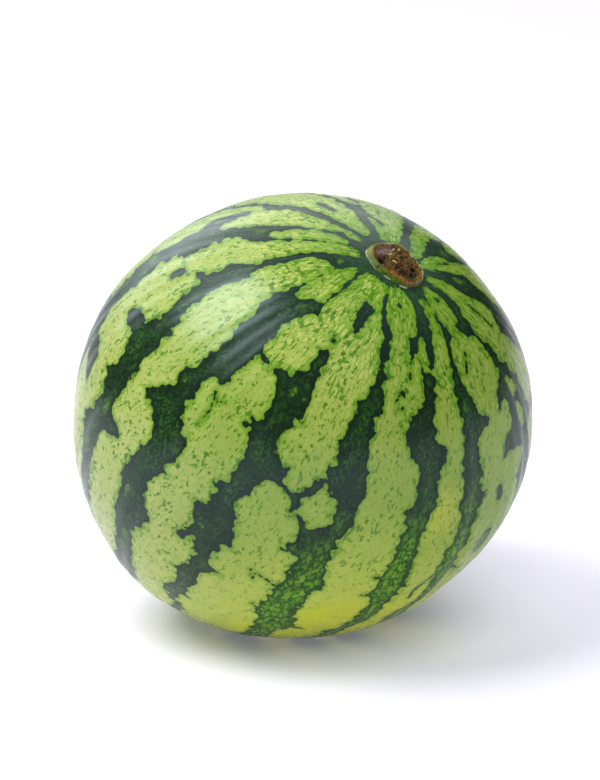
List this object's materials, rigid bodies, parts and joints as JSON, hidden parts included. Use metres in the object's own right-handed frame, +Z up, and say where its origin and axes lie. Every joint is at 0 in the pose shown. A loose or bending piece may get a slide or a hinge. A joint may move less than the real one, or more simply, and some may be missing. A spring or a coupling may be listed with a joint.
{
  "type": "watermelon",
  "caption": "Whole round watermelon with a striped green rind and a corky stem scar, resting on its flat ground spot.",
  "frame": {"origin": "middle of the fruit's box at the height of the surface that it rests on", "axes": "+Z up as the fruit rests on its ground spot; -Y towards the viewer of the picture; the fruit's own axis leans 37 degrees from +Z, with the stem end to the front right"},
  "size_m": [0.2042, 0.1974, 0.1943],
  "materials": {
    "rind": "smooth waxy skin, dark and light green stripes, a yellow ground spot, and a dry brown corky scar at the stem end"
  },
  "bodies": {
    "root": {"watermelon": "rind"}
  },
  "joints": []
}
